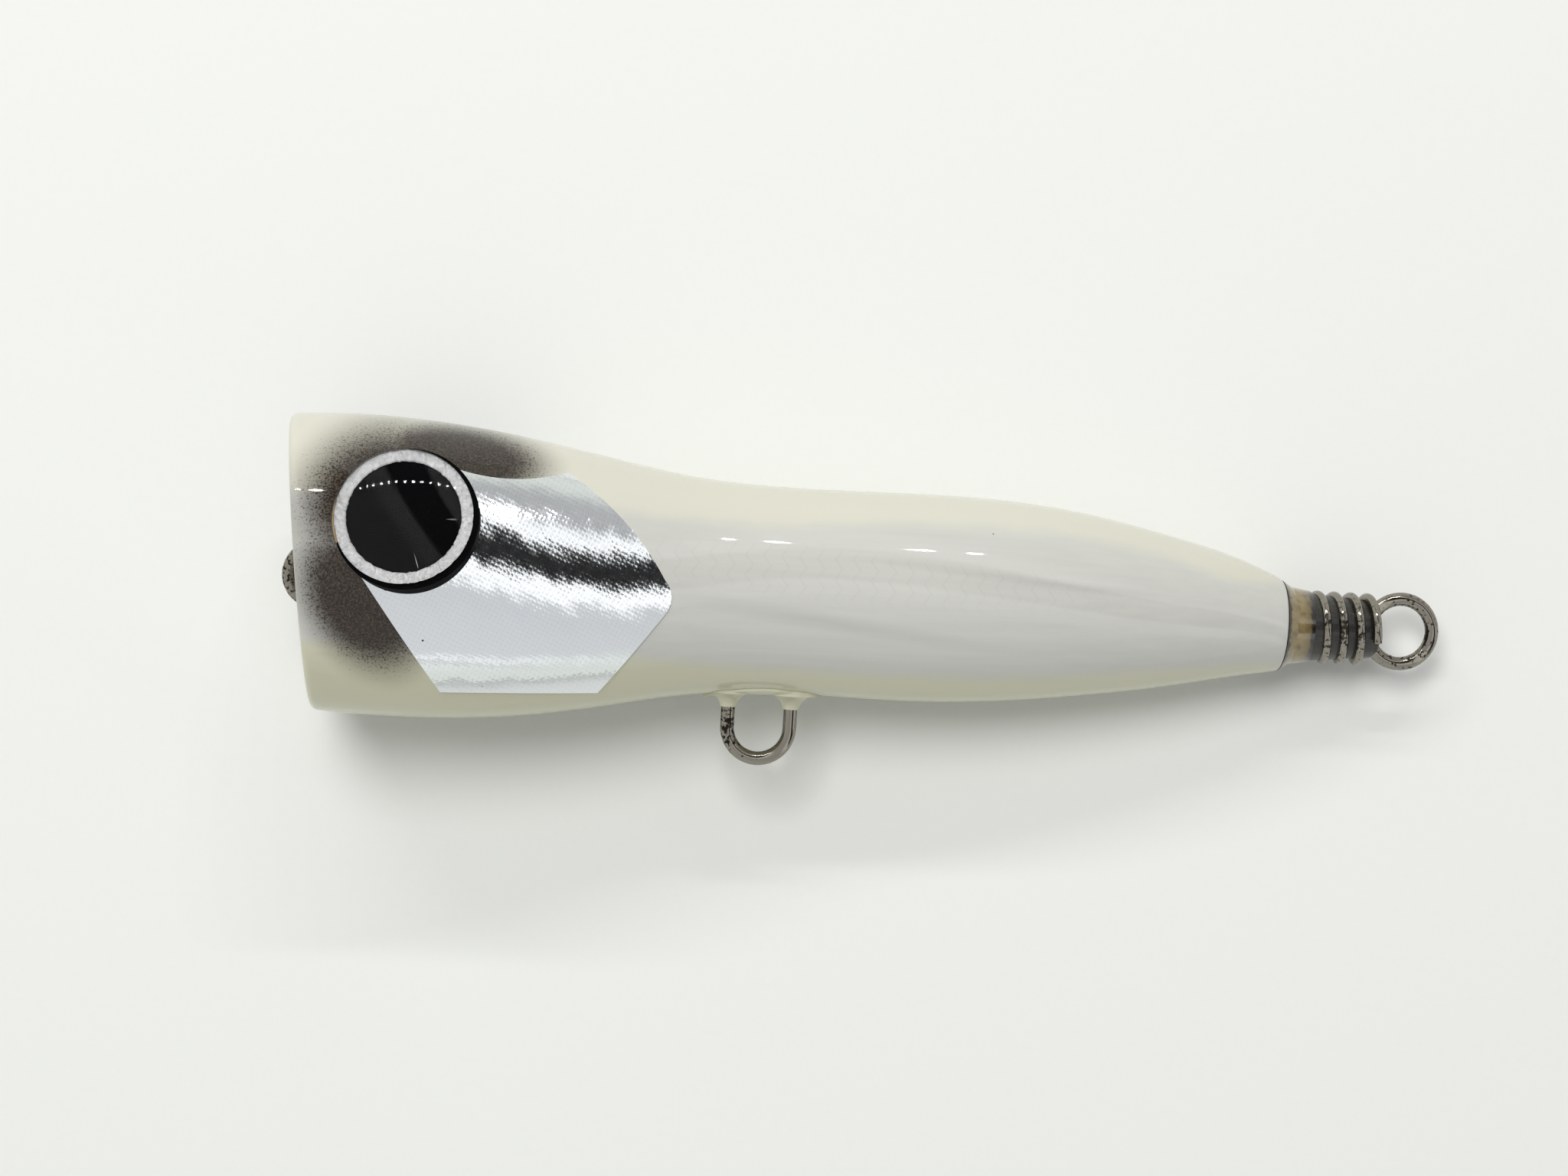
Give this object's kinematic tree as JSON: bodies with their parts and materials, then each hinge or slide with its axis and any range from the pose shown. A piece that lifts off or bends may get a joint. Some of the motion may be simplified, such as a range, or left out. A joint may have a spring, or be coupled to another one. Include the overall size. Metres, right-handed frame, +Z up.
{
  "type": "topwater popper",
  "caption": "Wooden topwater popper lure with cupped mouth, domed eyes, mirror cheek plates and a stainless through wire bent into nose, belly and tail eyes.",
  "frame": {"origin": "on the floor under the middle of the lure's box, with the lure lying on its right side", "axes": "+X towards the tail (nose at -X), +Y towards the back (belly at -Y), +Z up out of the left side; the wire axis rises 5.3 degrees towards the nose, because the lure rests on its right eye and the rear of its side, and the belly lies 4 degrees lower than the back"},
  "size_m": [0.1522, 0.043, 0.0391],
  "materials": {
    "wood": "planed, unfinished",
    "pearl_lacquer": "glossy pearl lacquer over sprayed paint",
    "wire_steel": "drawn and polished stainless wire",
    "binding_steel": "drawn stainless wire, bright",
    "amber_resin": "cast epoxy, amber tinted, glossy",
    "dark_resin": "epoxy filled with dark powder, glossy",
    "clear_resin": "clear epoxy over cream paint",
    "lead": "cast lead, dull",
    "eye_foil": "crinkled silver foil",
    "eye_black": "printed black",
    "lens_resin": "clear domed casting resin",
    "cheek_foil": "embossed mirror foil",
    "scale_film": "thin embossed film"
  },
  "bodies": {
    "root": {"core_left": "wood", "core_right": "wood", "body_lacquer": "pearl_lacquer", "through_wire": "wire_steel", "tail_binding": "binding_steel", "tail_collar": "amber_resin", "tail_resin": "dark_resin", "nose_resin": "clear_resin", "hanger_resin": "clear_resin", "ballast_front": "lead", "ballast_middle": "lead", "ballast_rear": "lead", "eye_foil_left": "eye_foil", "eye_foil_right": "eye_foil", "eye_pupil_left": "eye_black", "eye_pupil_right": "eye_black", "eye_lens_left": "lens_resin", "eye_lens_right": "lens_resin", "cheek_plate_left": "cheek_foil", "cheek_plate_right": "cheek_foil", "side_film_left": "scale_film", "side_film_right": "scale_film"}
  },
  "joints": []
}
